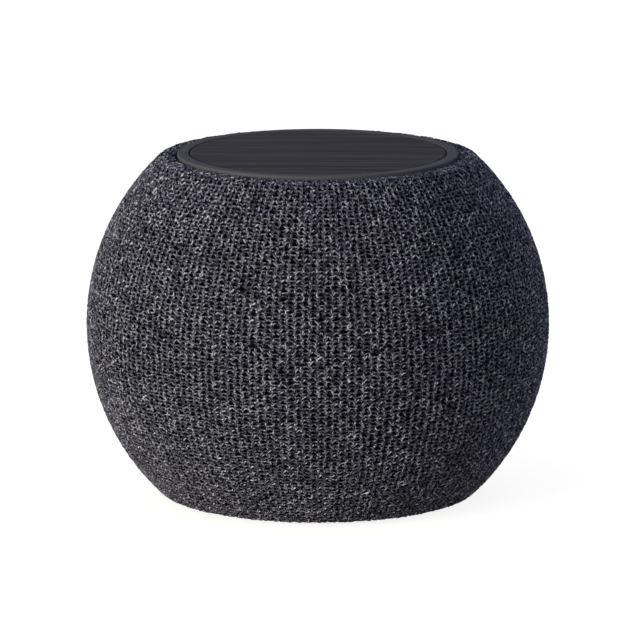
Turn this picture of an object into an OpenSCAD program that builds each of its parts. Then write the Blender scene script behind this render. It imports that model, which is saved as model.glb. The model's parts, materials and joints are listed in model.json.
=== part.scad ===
// Ball-shaped smart home hub: a knitted sleeve over a two-piece grille shell, a wireless
// charging plate in a trim ring on top, a barrel-shaped acoustic chamber with a front driver
// and a rear passive radiator inside, and a rear panel with four buttons and a USB-C inlet.
// Millimetres. +Z is up, the front faces -Y, and the origin is the middle of the underside.

/* [Body] */
// Diameter of the ball over the knitted sleeve
body_d = 120; // [118:1:124]
// Overall height, from the foot ring to the charging plate
body_h = 90; // [89:0.5:91]
// Height of the ball's widest circle
waist_z = 45.3; // [45:0.1:45.6]
// Thickness of the knitted sleeve
knit_t = 0.9; // [0.6:0.1:1]
// Radius of the sleeve's rounded shoulder at the top
shoulder_r = 2.4; // [2:0.1:3]
// Radius of the sleeve's rounded edge at the bottom
hem_r = 4; // [3:0.5:5]
// Wall thickness of the grille shells
shell_t = 2; // [1.6:0.2:2.4]

/* [Top] */
// Outer diameter of the trim ring
ring_d = 72.4; // [72:0.2:73]
// Width of the trim ring's flat band, seen from above
ring_w = 2.9; // [2.6:0.1:3.2]
// How far the trim ring stands above the sleeve
ring_proud = 0.5; // [0.3:0.1:0.7]
// Gap between the trim ring and the charging plate
plate_gap = 0.35; // [0.25:0.05:0.5]
// Diameter of the charging coil
coil_d = 42; // [38:1:43]

/* [Sound] */
// Outer diameter of the barrel-shaped acoustic chamber
chamber_d = 55; // [54:0.5:55.5]
// Height of the chamber's axis
chamber_z = 48; // [47.5:0.5:48.5]
// Diameter of the driver's and the radiator's mounting flange
flange_d = 54; // [53:0.5:54]
// Travel of the driver cone and the radiator, each way
cone_travel = 2; // [1:0.5:2]

/* [Rear panel] */
// Width of the control panel
panel_w = 60; // [58:1:62]
// Height of the control panel
panel_h = 22; // [20:1:22]
// Height of the panel's centre
panel_z = 20.5; // [20:0.5:21]
// Button diameter
button_d = 9.2; // [8:0.2:9.6]
// Distance between neighbouring buttons
button_pitch = 14; // [13:0.5:14]
// How far a button travels when it is pressed
button_travel = 0.5; // [0.3:0.1:0.5]

/* [Power] */
// Battery pack: thickness, width and height
battery_size = [8, 34, 48];
// Thickness of the printed circuit boards
board_t = 1.2; // [1:0.1:1.6]

/* [Hidden] */

// Round shapes
$fn = 96;
small_fn = 32;
tiny_fn = 24;
eps = 0.05;

// Ball and shells
body_r = body_d / 2;
shell_out_r = body_r - knit_t - 0.1;
shell_in_r = shell_out_r - shell_t;
sleeve_top_z = body_h - ring_proud;
sleeve_bottom_z = 0.9;
ring_r = ring_d / 2;
plate_r = ring_r - ring_w - plate_gap;
cover_r = 32;
cover_t = 2.4;
tuck_bottom_r = cover_r + 0.6;
shell_top_z = sleeve_top_z - knit_t - 0.2;
shell_bottom_z = sleeve_bottom_z + knit_t + 0.6;
split_gap = 0.15;

// Top deck, ring seat and coil carrier
fit_gap = 0.3;
ring_h = 2.8;
deck_t = 2.6;
plate_sink = 0.05;
seat_z = body_h - ring_h;
seat_r = ring_r + 0.2;
ring_flange_t = 0.9;
ring_flange_r = ring_r - 4.9;
deck_z = seat_z - deck_t;
deck_hole_r = 29;
carrier_r = 35.5;
carrier_t = 1.5;
tray_r = 26;
tray_floor_z = deck_z + 1;
ferrite_t = 1.1;
coil_t = 1.1;
coil_in_r = 9;
charger_board_r = 24;
charger_board_z = deck_z - 5;
carrier_screw_r = 32.6;
carrier_screw_sink = 1.2;
stake_r = 20;

// Acoustic chamber and its two drive units; the driver faces -Y, the radiator +Y
chamber_r = chamber_d / 2;
chamber_wall = 2;
chamber_front_y = -41.7;
chamber_seam_y = -3;
seal_t = 0.8;
chamber_rear_y = 35;
flange_r = flange_d / 2;
driver_hole_r = 23.2;
radiator_hole_r = 21;
flange_screw_r = 24.9;
gasket_t = 0.5;
former_r = 6.8;
lug_x = 31;
lug_y = 22;
lug_z = 31;
lug_t = 2.4;

// Floor, main board and base
floor_z = 6.4;
board_z = 11.4;
board_r = 44.6;
board_half_w = 26.5;
board_front_y = -28;
base_screw_r = 24.4;
foot_in_r = 27.6;
foot_out_r = 31.3;
foot_t = 1.5;
collar_r = 17.6;
collar_wall = 1.6;
cover_screw_sink = 1.3;
floor_hole_r = 18;
post_circle_r = 36 * sqrt(2);
post_r = 3.4;
post_l = 22;
post_screw_z = waist_z - 9;
main_screw_x = 23;
main_screw_y = [-20, 30];

// Rear panel
panel_r = body_r + 0.1;
panel_corner_r = 10;
panel_plug_inset = 0.7;
button_z = panel_z + 4.3;
button_x = [for (i = [0:3]) (1.5 - i) * button_pitch]; // power, minus, play, plus: left to right from behind
button_proud = 0.5;
button_gap = 0.25;
button_board_y = 40.8;
button_board_h = 12;
panel_in_r = shell_in_r + 0.2;
cap_in_r = panel_in_r - 1.3;
switch_w = 4.5;
switch_h = 2.5;
plunger_h = button_travel + 0.3;
port_z = board_z + board_t + 2;
port_y = 51;
port_w = 8.94;
port_h = 3.2;
led_x = 12;
mic_x = -12;

// Battery, on the left of the chamber
battery_x = -42.5;
battery_z = 22;
bracket_wall = 1.4;

// ---------------------------------------------------------------- helpers

// Points of an arc about c, from angle a0 to a1, in n steps
function arc(c, r, a0, a1, n) =
    [for (i = [0:n]) c + r * [cos(a0 + (a1 - a0) * i / n), sin(a0 + (a1 - a0) * i / n)]];

module tube(r_out, r_in, h) {
    difference() {
        cylinder(r = r_out, h = h);
        translate([0, 0, -1]) cylinder(r = r_in, h = h + 2);
    }
}

module at_angles(count, start = 0) {
    for (i = [0:count - 1]) rotate(start + i * 360 / count) children();
}

// Turns a part drawn along +Z to face the rear or the front, on the chamber's axis
module facing_rear(y) {
    translate([0, y, chamber_z]) rotate([-90, 0, 0]) children();
}

module facing_front(y) {
    translate([0, y, chamber_z]) rotate([90, 0, 0]) children();
}

// A solid ball about the body's centre
module ball(r) {
    translate([0, 0, waist_z]) sphere(r = r, $fn = 144);
}

module slab(z0, z1) {
    translate([-100, -100, z0]) cube([200, 200, z1 - z0]);
}

module rounded_rect(w, h, r) {
    square([w - 2 * r, h], center = true);
    square([w, h - 2 * r], center = true);
    for (x = [-1, 1], y = [-1, 1]) translate([x * (w / 2 - r), y * (h / 2 - r)]) circle(r = r, $fn = 48);
}

// A prism along +Y with the control panel's outline, inset all round
module panel_prism(inset, y0 = 30, y1 = 70) {
    translate([0, y1, panel_z]) rotate([90, 0, 0]) linear_extrude(height = y1 - y0)
        rounded_rect(panel_w - 2 * inset, panel_h - 2 * inset, panel_corner_r - inset);
}

// A screw with its head on top at z = 0 and its shank below
module screw(shank_r, shank_l, head_r, head_h) {
    difference() {
        cylinder(r = head_r, h = head_h, $fn = small_fn);
        for (a = [0, 90]) rotate(a) translate([-head_r * 0.6, -0.25, head_h * 0.45])
            cube([head_r * 1.2, 0.5, head_h]);
    }
    translate([0, 0, -shank_l]) cylinder(r = shank_r, h = shank_l + eps, $fn = small_fn);
}

// A wire of round section swept along smooth turns between hand-chosen points
function lerp(a, b, t) = a + (b - a) * t;
function spline_point(p, i, t) =
    let (a = p[max(i - 1, 0)], b = p[i], c = p[i + 1], d = p[min(i + 2, len(p) - 1)])
    0.5 * (2 * b + (c - a) * t + (2 * a - 5 * b + 4 * c - d) * t * t
        + (3 * b - a - 3 * c + d) * t * t * t);
function spline(p, steps) = [
    for (i = [0:len(p) - 2], s = [0:steps - 1]) spline_point(p, i, s / steps),
    p[len(p) - 1]
];
function unit(v) = v / norm(v);
function side_of(t) = unit(cross(t, abs(t[0]) < 0.8 ? [1, 0, 0] : [0, 1, 0]));
function path_tangent(p, i) = unit(p[min(i + 1, len(p) - 1)] - p[max(i - 1, 0)]);
function carried(s, t) = unit(s - (s * t) * t);
function path_sides(p, i = 0, done = []) =
    i == len(p) ? done
    : path_sides(p, i + 1, concat(done, [
        i == 0 ? side_of(path_tangent(p, 0)) : carried(done[i - 1], path_tangent(p, i))]));

module wire(points, r, steps = 5, sides = 8) {
    path = spline(points, steps);
    side = path_sides(path);
    rings = [for (i = [0:len(path) - 1], k = [0:sides - 1])
        let (t = path_tangent(path, i), a = k * 360 / sides)
        path[i] + r * (cos(a) * side[i] + sin(a) * cross(t, side[i]))];
    last = (len(path) - 1) * sides;
    walls = [for (i = [0:len(path) - 2], k = [0:sides - 1])
        let (n = (k + 1) % sides)
        [i * sides + k, (i + 1) * sides + k, (i + 1) * sides + n, i * sides + n]];
    caps = [[for (k = [0:sides - 1]) k], [for (k = [sides - 1:-1:0]) last + k]];
    polyhedron(points = rings, faces = concat(walls, caps), convexity = 6);
}

// ---------------------------------------------------------------- sleeve and top

// Half outline of a skin that lies a distance `inset` inside the sleeve's outer face
function skin_outline(inset) =
    let (
        r = body_r - inset,
        top_f = shoulder_r - inset,
        bottom_f = hem_r - inset,
        top = sleeve_top_z - inset - waist_z,
        bottom = waist_z - sleeve_bottom_z - inset,
        top_c = [sqrt(pow(r - top_f, 2) - pow(top - top_f, 2)), top - top_f],
        bottom_c = [sqrt(pow(r - bottom_f, 2) - pow(bottom - bottom_f, 2)), bottom_f - bottom],
        top_a = atan2(top_c[1], top_c[0]),
        bottom_a = atan2(bottom_c[1], bottom_c[0])
    )
    concat(
        [[seat_r, top]],
        arc(top_c, top_f, 90, top_a, 8),
        arc([0, 0], r, top_a - 2, bottom_a + 2, 40),
        arc(bottom_c, bottom_f, bottom_a, -90, 8),
        [[tuck_bottom_r, -bottom]]
    );

module knit_sleeve() {
    outer = skin_outline(0);
    inner = skin_outline(knit_t);
    color([0.22, 0.22, 0.26]) difference() {
        translate([0, 0, waist_z]) rotate_extrude()
            polygon(concat(outer, [for (i = [len(inner) - 1:-1:0]) inner[i]]));
        panel_prism(-0.25);
    }
}

module top_trim_ring() {
    lip_in_r = ring_r - ring_w;
    edge = 0.35;
    inner_edge = 0.2;
    rim_z = body_h - seat_z;
    color([0.27, 0.27, 0.29]) translate([0, 0, seat_z]) rotate_extrude() polygon(concat(
        [[ring_flange_r, 0], [ring_r, 0]],
        arc([ring_r - edge, rim_z - edge], edge, 0, 90, 6),
        [[lip_in_r + inner_edge, rim_z], [lip_in_r, rim_z - inner_edge],
        [lip_in_r, ring_flange_t], [ring_flange_r, ring_flange_t]]
    ));
}

module charging_plate() {
    edge = 0.25;
    glue_t = 0.05;
    rim_h = 0.8;
    rim_t = 1.2;
    bottom_z = seat_z + ring_flange_t + glue_t;
    h = body_h - plate_sink - bottom_z;
    color([0.21, 0.21, 0.23]) translate([0, 0, bottom_z]) {
        rotate_extrude() polygon([
            [0, 0], [plate_r, 0], [plate_r, h - edge], [plate_r - edge, h], [0, h]]);
        // Rim that keeps the plate centred inside the ring's flange
        translate([0, 0, -rim_h])
            tube(ring_flange_r - fit_gap, ring_flange_r - fit_gap - rim_t, rim_h + eps);
    }
}

// ---------------------------------------------------------------- shells

// Sound slots all round the wall between two heights; `skip` leaves out the rear
module sound_slots(z0, z1, skip) {
    slot_w = 2.4;
    for (a = [0:10:350])
        if (abs(a - 90) > skip) rotate(a) translate([30, -slot_w / 2, z0]) cube([40, slot_w, z1 - z0]);
}

module upper_grille_shell() {
    color([0.16, 0.16, 0.17]) difference() {
        union() {
            difference() {
                intersection() {
                    ball(shell_out_r);
                    slab(waist_z + split_gap / 2, shell_top_z);
                }
                intersection() {
                    ball(shell_in_r);
                    slab(0, deck_z);
                }
                sound_slots(52, 78, -1);
            }
            intersection() {
                ball(shell_out_r - 0.5);
                at_angles(4, 45) translate([post_circle_r, 0, waist_z + split_gap / 2])
                    cylinder(r = post_r, h = body_r, $fn = small_fn);
            }
        }
        translate([0, 0, seat_z]) cylinder(r = seat_r, h = 10);
        translate([0, 0, deck_z - 1]) cylinder(r = deck_hole_r, h = 10);
        at_angles(4, 45) translate([post_circle_r, 0, waist_z - 1])
            cylinder(r = 1.15, h = 15, $fn = tiny_fn);
        at_angles(3, 90) translate([carrier_screw_r, 0, deck_z - 1]) {
            cylinder(r = 1.2, h = 5, $fn = tiny_fn);
            translate([0, 0, 1 + carrier_screw_sink]) cylinder(r = 2, h = 5, $fn = tiny_fn);
        }
    }
}

module lower_grille_shell() {
    post_bottom_z = waist_z - post_l;
    color([0.16, 0.16, 0.17]) difference() {
        union() {
            difference() {
                intersection() {
                    ball(shell_out_r);
                    slab(shell_bottom_z, waist_z - split_gap / 2);
                }
                intersection() {
                    ball(shell_in_r);
                    slab(floor_z, 80);
                }
                sound_slots(14, 38, 40);
            }
            intersection() {
                ball(shell_out_r - 0.5);
                at_angles(4, 45) translate([post_circle_r, 0, post_bottom_z])
                    cylinder(r = post_r, h = post_l - split_gap / 2, $fn = small_fn);
            }
            for (x = [-1, 1], y = [-1, 1]) translate([x * lug_x, y * lug_y, floor_z - 1])
                cylinder(r = 3, h = lug_z - floor_z + 1, $fn = small_fn);
            for (x = [-1, 1], y = main_screw_y) translate([x * main_screw_x, y, floor_z - 1])
                cylinder(r = 2.5, h = board_z - floor_z + 1, $fn = small_fn);
            at_angles(4) translate([base_screw_r, 0, floor_z - 1])
                cylinder(r = 2.6, h = 4, $fn = small_fn);
        }
        translate([0, 0, -1]) cylinder(r = cover_r + 0.3, h = 1 + sleeve_bottom_z + cover_t + 0.1);
        translate([0, 0, -1]) cylinder(r = floor_hole_r, h = 20);
        panel_prism(panel_plug_inset - 0.2);
        at_angles(4, 45) translate([post_circle_r, 0, 0]) {
            cylinder(r = 1.6, h = body_h, $fn = tiny_fn);
            cylinder(r = 2.7, h = post_screw_z, $fn = small_fn);
        }
        for (x = [-1, 1], y = [-1, 1]) translate([x * lug_x, y * lug_y, lug_z - 8])
            cylinder(r = 0.9, h = 10, $fn = tiny_fn);
        for (x = [-1, 1], y = main_screw_y) translate([x * main_screw_x, y, board_z - 4.4])
            cylinder(r = 0.9, h = 6, $fn = tiny_fn);
        at_angles(4) translate([base_screw_r, 0, 0]) cylinder(r = 1.05, h = 8.6, $fn = tiny_fn);
    }
}

module shell_screws() {
    color("silver") at_angles(4, 45) translate([post_circle_r, 0, post_screw_z])
        mirror([0, 0, 1]) screw(1.1, 17, 2.3, 1.8);
}

// ---------------------------------------------------------------- base

module base_cover() {
    color([0.12, 0.12, 0.13]) difference() {
        union() {
            translate([0, 0, sleeve_bottom_z]) cylinder(r = cover_r, h = cover_t);
            // Collar that centres the cover in the floor's opening
            translate([0, 0, sleeve_bottom_z + cover_t - eps]) tube(collar_r, collar_r - collar_wall, 2);
        }
        // Groove for the foot ring
        translate([0, 0, -1]) tube(foot_out_r + 0.05, foot_in_r - 0.05, 1 + foot_t);
        at_angles(4) translate([base_screw_r, 0, 0]) {
            cylinder(r = 1.4, h = 6, $fn = tiny_fn);
            cylinder(r = 2.5, h = sleeve_bottom_z + cover_screw_sink, $fn = small_fn);
        }
        // Reset pinhole
        translate([8, 0, 0]) cylinder(r = 0.8, h = 6, $fn = tiny_fn);
    }
}

module foot_ring() {
    edge = 0.4;
    color([0.1, 0.1, 0.1]) rotate_extrude() polygon(concat(
        [[foot_in_r, foot_t], [foot_in_r, edge], [foot_in_r + edge, 0]],
        arc([foot_out_r - edge, edge], edge, -90, 0, 4),
        [[foot_out_r, foot_t]]
    ));
}

module base_screws() {
    color("silver") at_angles(4) translate([base_screw_r, 0, sleeve_bottom_z + cover_screw_sink])
        mirror([0, 0, 1]) screw(1, 6, 2.2, 1.1);
}

// ---------------------------------------------------------------- wireless charger

module charging_coil() {
    turns = 12;
    wire_w = (coil_d / 2 - coil_in_r) / turns;
    z = tray_floor_z + ferrite_t + 0.1;
    color([0.72, 0.42, 0.2]) translate([0, 0, z]) {
        // The turns lie flat, as bonded rings of Litz wire with a shallow groove between them
        rotate_extrude() union() {
            translate([coil_in_r, 0]) square([coil_d / 2 - coil_in_r, coil_t * 0.6]);
            for (i = [0:turns - 1]) translate([coil_in_r + (i + 0.5) * wire_w, coil_t * 0.55])
                circle(r = wire_w * 0.45, $fn = 16);
        }
        // The two ends leave at the rear
        for (x = [-2, 2]) translate([x - 0.5, coil_d / 2 - 1, 0]) cube([1, 3.2, 0.8]);
    }
}

module ferrite_disc() {
    color([0.2, 0.19, 0.18]) translate([0, 0, tray_floor_z]) cylinder(r = 24.2, h = ferrite_t);
}

module temperature_sensor() {
    z = tray_floor_z + ferrite_t;
    color([0.1, 0.25, 0.12]) translate([0, 0, z]) {
        cylinder(r = 1.4, h = 1, $fn = small_fn);
        for (x = [-0.6, 0.6]) translate([x - 0.2, 0, 0]) cube([0.4, 6, 0.4]);
    }
}

module coil_carrier() {
    color([0.85, 0.85, 0.83]) difference() {
        union() {
            translate([0, 0, deck_z - carrier_t]) cylinder(r = carrier_r, h = carrier_t - eps);
            translate([0, 0, deck_z - carrier_t]) cylinder(r = tray_r, h = seat_z + 0.3 - deck_z + carrier_t);
            at_angles(3, 90) translate([carrier_screw_r, 0, deck_z - 6])
                cylinder(r = 2.4, h = 6 - eps, $fn = small_fn);
            // Pillars and heat stakes for the charger board
            at_angles(4, 45) translate([stake_r, 0, charger_board_z + board_t])
                cylinder(r = 2, h = deck_z - charger_board_z - board_t, $fn = small_fn);
            at_angles(4, 45) translate([stake_r, 0, charger_board_z - 0.8])
                cylinder(r = 0.9, h = 5, $fn = tiny_fn);
        }
        translate([0, 0, tray_floor_z]) cylinder(r = tray_r - 1.4, h = 10);
        at_angles(3, 90) translate([carrier_screw_r, 0, deck_z - 5]) cylinder(r = 0.9, h = 9, $fn = tiny_fn);
        // Lightening windows around the tray
        at_angles(3, 30) translate([31, 0, deck_z - 5]) cylinder(r = 3, h = 9, $fn = small_fn);
    }
}

module charger_board() {
    color([0.05, 0.28, 0.16]) translate([0, 0, charger_board_z]) difference() {
        cylinder(r = charger_board_r, h = board_t);
        at_angles(4, 45) translate([stake_r, 0, -1]) cylinder(r = 1, h = 5, $fn = tiny_fn);
        translate([-3, 22, -1]) cube([6, 4, 4]);
    }
}

module charger_components() {
    color([0.1, 0.1, 0.11]) translate([0, 0, charger_board_z]) {
        translate([-3.5, -3.5, -1]) cube([7, 7, 1]);
        for (x = [-12, 12]) translate([x - 2.5, -2, -1.4]) cube([5, 4, 1.4]);
        for (i = [0:3]) translate([-9 + 6 * i, 9, -1.8]) cube([3.2, 2.5, 1.8]);
        for (i = [0:5]) translate([-8 + 3 * i, -9, -0.6]) cube([1.6, 0.8, 0.6]);
        // Lead socket
        translate([12, 6, -2]) cube([6, 4, 2]);
    }
}

// ---------------------------------------------------------------- acoustic chamber

module chamber_lugs(y_sign) {
    for (x = [-1, 1]) translate([x * 27.5 - 7, y_sign * lug_y - 3.2, lug_z]) cube([14, 6.4, lug_t]);
}

module chamber_lug_holes() {
    for (x = [-1, 1], y = [-1, 1]) translate([x * lug_x, y * lug_y, lug_z - 1])
        cylinder(r = 1.15, h = 6, $fn = tiny_fn);
}

// One half of the barrel: a tube from y0 to y1 with an end wall that has a round opening
module chamber_half(y0, y1, end_y, hole_r, y_sign) {
    end_t = 2.5;
    boss_l = 6;
    color([0.2, 0.2, 0.21]) difference() {
        union() {
            facing_rear(y0) cylinder(r = chamber_r, h = y1 - y0);
            chamber_lugs(y_sign);
        }
        difference() {
            facing_rear(y0 - (y_sign > 0 ? 1 : -end_t))
                cylinder(r = chamber_r - chamber_wall, h = y1 - y0 + 1 - end_t);
            facing_rear(end_y - boss_l - (y_sign > 0 ? end_t : -end_t)) at_angles(4, 45)
                translate([flange_screw_r - 0.3, 0, 0]) cylinder(r = 2.6, h = boss_l * 2, $fn = small_fn);
        }
        facing_rear(end_y - 5) cylinder(r = hole_r, h = 10);
        facing_rear(end_y - (y_sign > 0 ? 7 : 1)) at_angles(4, 45)
            translate([flange_screw_r, 0, 0]) cylinder(r = 1, h = 8, $fn = tiny_fn);
        chamber_lug_holes();
    }
}

module chamber_front() {
    difference() {
        chamber_half(chamber_front_y, chamber_seam_y, chamber_front_y, driver_hole_r, -1);
        // Passage for the driver leads
        color([0.2, 0.2, 0.21]) translate([10, -20, chamber_z - chamber_r - 1])
            cylinder(r = 1.5, h = 6, $fn = tiny_fn);
    }
}

module chamber_rear() {
    chamber_half(chamber_seam_y + seal_t, chamber_rear_y, chamber_rear_y, radiator_hole_r, 1);
}

module chamber_seal() {
    color([0.1, 0.1, 0.1]) facing_rear(chamber_seam_y)
        tube(chamber_r - 0.2, chamber_r - chamber_wall + 0.2, seal_t);
}

// ---------------------------------------------------------------- driver, drawn facing +Z

driver_y = chamber_front_y - gasket_t;
driver_flange_t = 1.8;
radiator_flange_t = 2.4;
driver_roll_r = 0.85 * cone_travel;
radiator_roll_r = cone_travel;

// A half-roll suspension: inner lip, roll and outer lip, seen in section
module roll_section(mid_r, roll_r, inner_z, outer_z, inner_r, outer_r) {
    t = 0.4;
    difference() {
        translate([mid_r, inner_z]) circle(r = roll_r, $fn = 48);
        translate([mid_r, inner_z]) circle(r = roll_r - t, $fn = 48);
        translate([mid_r - roll_r - 1, inner_z - roll_r - 1]) square([2 * roll_r + 2, roll_r + 1]);
        translate([mid_r, inner_z - 1]) square([roll_r + 1, outer_z - inner_z + 1]);
    }
    translate([inner_r, inner_z]) square([mid_r - roll_r + t / 2 - inner_r, t]);
    outer_start = mid_r + sqrt(pow(roll_r - t, 2) - pow(outer_z - inner_z, 2));
    translate([outer_start, outer_z]) square([outer_r - outer_start, t]);
}

module driver_basket() {
    color([0.25, 0.25, 0.27]) facing_front(driver_y) difference() {
        rotate_extrude() polygon([
            [21.8, 0.2], [13.6, -12.6], [9.4, -12.6], [9.4, -13.8], [14.4, -13.8],
            [22.8, -1], [22.8, 0], [flange_r, 0], [flange_r, driver_flange_t], [21.8, driver_flange_t]]);
        at_angles(4) translate([14.5, -6, -11]) cube([12, 12, 8]);
        at_angles(4, 45) translate([flange_screw_r, 0, -1]) cylinder(r = 1.3, h = 4, $fn = tiny_fn);
    }
}

module driver_gasket() {
    color([0.08, 0.08, 0.08]) facing_front(driver_y) translate([0, 0, -gasket_t + 0.02]) difference() {
        tube(flange_r, driver_hole_r, gasket_t - 0.04);
        at_angles(4, 45) translate([flange_screw_r, 0, -1]) cylinder(r = 1.3, h = 4, $fn = tiny_fn);
    }
}

module driver_top_plate() {
    color("silver") facing_front(driver_y) translate([0, 0, -16.6]) tube(14, 7.9, 2.75);
}

module driver_magnet() {
    color([0.3, 0.3, 0.31]) facing_front(driver_y) translate([0, 0, -24.1]) tube(15.5, 9, 7.45);
}

module driver_yoke() {
    color("silver") facing_front(driver_y) {
        translate([0, 0, -27.1]) cylinder(r = 14.5, h = 2.95);
        translate([0, 0, -24.2]) cylinder(r = 6.1, h = 10.4);
    }
}

module driver_cone() {
    color([0.14, 0.14, 0.15]) facing_front(driver_y) rotate_extrude() polygon([
        [former_r + eps, -8.5], [former_r + eps, -7.9], [18, 0.9], [19.3, 0.9], [19.3, 0.4], [18.4, 0.4]]);
}

module dust_cap() {
    dome_r = 12;
    rim_r = 7.2;
    sink = sqrt(pow(dome_r, 2) - pow(rim_r, 2));
    color([0.1, 0.1, 0.11]) facing_front(driver_y) translate([0, 0, -7.3]) difference() {
        translate([0, 0, -sink]) sphere(r = dome_r);
        translate([0, 0, -sink]) sphere(r = dome_r - 0.4);
        translate([-20, -20, -40]) cube([40, 40, 40]);
    }
}

module voice_coil() {
    color([0.75, 0.45, 0.22]) facing_front(driver_y) {
        translate([0, 0, -17.5]) tube(former_r, former_r - 0.3, 9);
        translate([0, 0, -17.3]) tube(former_r + 0.6, former_r - 0.1, 4);
    }
}

module driver_surround() {
    color([0.07, 0.07, 0.07]) facing_front(driver_y)
        rotate_extrude() roll_section(20.1, driver_roll_r, 0.95, driver_flange_t + eps, 17.8, 22.8);
}

module driver_spider() {
    waves = 3;
    in_r = former_r + 0.35;
    out_r = 14.9;
    steps = 48;
    function wave(i, lift) = [in_r + (out_r - in_r) * i / steps, lift + 0.5 * sin(waves * 360 * i / steps)];
    color([0.75, 0.65, 0.4]) facing_front(driver_y) translate([0, 0, -10.2]) rotate_extrude() polygon(concat(
        [for (i = [0:steps]) wave(i, 0)], [for (i = [steps:-1:0]) wave(i, 0.35)]));
}

// ---------------------------------------------------------------- passive radiator

module radiator_frame() {
    color([0.25, 0.25, 0.27]) facing_rear(chamber_rear_y) difference() {
        tube(flange_r, 21.4, radiator_flange_t);
        at_angles(4, 45) translate([flange_screw_r, 0, -1]) cylinder(r = 1.3, h = 5, $fn = tiny_fn);
    }
}

module radiator_surround() {
    color([0.07, 0.07, 0.07]) facing_rear(chamber_rear_y)
        rotate_extrude()
            roll_section(19.2, radiator_roll_r, 1.75, radiator_flange_t + eps, 15.5, 22.8);
}

module radiator_diaphragm() {
    color([0.18, 0.18, 0.19]) facing_rear(chamber_rear_y) difference() {
        translate([0, 0, 0.8]) cylinder(r = 17, h = 0.9);
        translate([0, 0, 1.5]) tube(14, 10, 1);
    }
}

module radiator_weight() {
    color("silver") facing_rear(chamber_rear_y) translate([0, 0, -1.7]) tube(9, 2, 2.5);
}

module speaker_screws() {
    color("silver") {
        facing_front(driver_y) at_angles(4, 45) translate([flange_screw_r, 0, driver_flange_t])
            screw(0.95, 7, 1.8, 1.2);
        facing_rear(chamber_rear_y) at_angles(4, 45) translate([flange_screw_r, 0, radiator_flange_t])
            screw(0.95, 7, 1.8, 1.2);
    }
}

module inner_screws() {
    color("silver") {
        at_angles(3, 90) translate([carrier_screw_r, 0, deck_z + carrier_screw_sink])
            screw(0.85, 5.6, 1.8, 1.2);
        for (x = [-1, 1], y = [-1, 1]) translate([x * lug_x, y * lug_y, lug_z + lug_t])
            screw(0.85, 8, 1.8, 1.2);
        for (x = [-1, 1], y = main_screw_y) translate([x * main_screw_x, y, board_z + board_t])
            screw(0.85, 5, 1.8, 1.2);
    }
}

// ---------------------------------------------------------------- electronics

module main_board() {
    color([0.04, 0.26, 0.15]) translate([0, 0, board_z]) difference() {
        intersection() {
            cylinder(r = board_r, h = board_t);
            translate([-board_half_w, board_front_y, 0])
                cube([2 * board_half_w, board_r - board_front_y, board_t]);
        }
        for (x = [-1, 1], y = main_screw_y) translate([x * main_screw_x, y, -1])
            cylinder(r = 1.15, h = 5, $fn = tiny_fn);
    }
}

module main_board_components() {
    top_z = board_z + board_t;
    color([0.1, 0.1, 0.11]) translate([0, 0, top_z]) {
        translate([-16, 18, 0]) cube([9, 9, 1.2]);
        translate([2, 20, 0]) cube([7, 7, 1]);
        for (i = [0:2]) translate([16, -22 + 7 * i, 0]) cylinder(r = 2.5, h = 3.6, $fn = small_fn);
        for (i = [0:3]) translate([-20 + 6 * i, 36, 0]) cube([3, 1.6, 1.1]);
        for (i = [0:6]) translate([-18 + 3 * i, -24, 0]) cube([1.6, 0.8, 0.6]);
        // Sockets for the battery, driver and charger leads and the ribbon cable
        translate([-25, -4, 0]) cube([5, 8, 3.2]);
        translate([6, -10, 0]) cube([5, 4, 2.6]);
        translate([19, 4, 0]) cube([5, 6, 2.6]);
        translate([13, 33, 0]) cube([10, 3, 1.4]);
    }
}

module radio_shield_can() {
    can_w = 22;
    can_d = 16;
    can_h = 2.6;
    wall = 0.4;
    color("silver") translate([-18, -14, board_z + board_t]) difference() {
        cube([can_w, can_d, can_h]);
        translate([wall, wall, -1]) cube([can_w - 2 * wall, can_d - 2 * wall, can_h + 1 - wall]);
        for (i = [0:4], j = [0:2]) translate([3 + 4 * i, 4 + 4 * j, 0]) cylinder(r = 0.6, h = 5, $fn = 16);
    }
}

module usb_port() {
    port_l = 7.4;
    wall = 0.3;
    color("silver") translate([0, port_y, port_z]) rotate([90, 0, 0]) {
        difference() {
            linear_extrude(height = port_l) rounded_rect(port_w, port_h, port_h / 2 - 0.1);
            translate([0, 0, -1]) linear_extrude(height = port_l - 0.5)
                rounded_rect(port_w - 2 * wall, port_h - 2 * wall, port_h / 2 - 0.1 - wall);
        }
        translate([-3.3, -0.35, 0.8]) cube([6.6, 0.7, port_l - 1]);
    }
}

module status_led() {
    color("white") translate([led_x - 1.5, 41.5, board_z + board_t]) cube([3, 1.4, 2.8]);
}

module light_pipe() {
    color([0.9, 0.95, 1]) intersection() {
        ball(panel_r - 0.05);
        translate([led_x, 43.1, port_z]) rotate([-90, 0, 0]) cylinder(r = 0.9, h = 12, $fn = small_fn);
    }
}

module microphone() {
    color([0.8, 0.75, 0.5]) translate([mic_x - 1.5, 40.5, board_z + board_t]) cube([3, 2.4, 2.8]);
}

module microphone_boot() {
    color([0.1, 0.1, 0.1]) difference() {
        translate([mic_x, 43, port_z]) rotate([-90, 0, 0]) cylinder(r = 1.7, h = 2.3, $fn = small_fn);
        translate([mic_x, 42, port_z]) rotate([-90, 0, 0]) cylinder(r = 0.6, h = 8, $fn = tiny_fn);
    }
}

// Antenna strip beside the chamber, on a foam pad that is stuck to the barrel
module antenna_board() {
    color([0.85, 0.6, 0.25]) translate([31.5, -15, 54]) cube([0.8, 30, 10]);
    color([0.15, 0.15, 0.15]) difference() {
        translate([20, -12, 55.5]) cube([11.5, 15, 6]);
        facing_rear(-20) cylinder(r = chamber_r + 0.03, h = 40);
    }
}

// ---------------------------------------------------------------- rear panel

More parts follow.
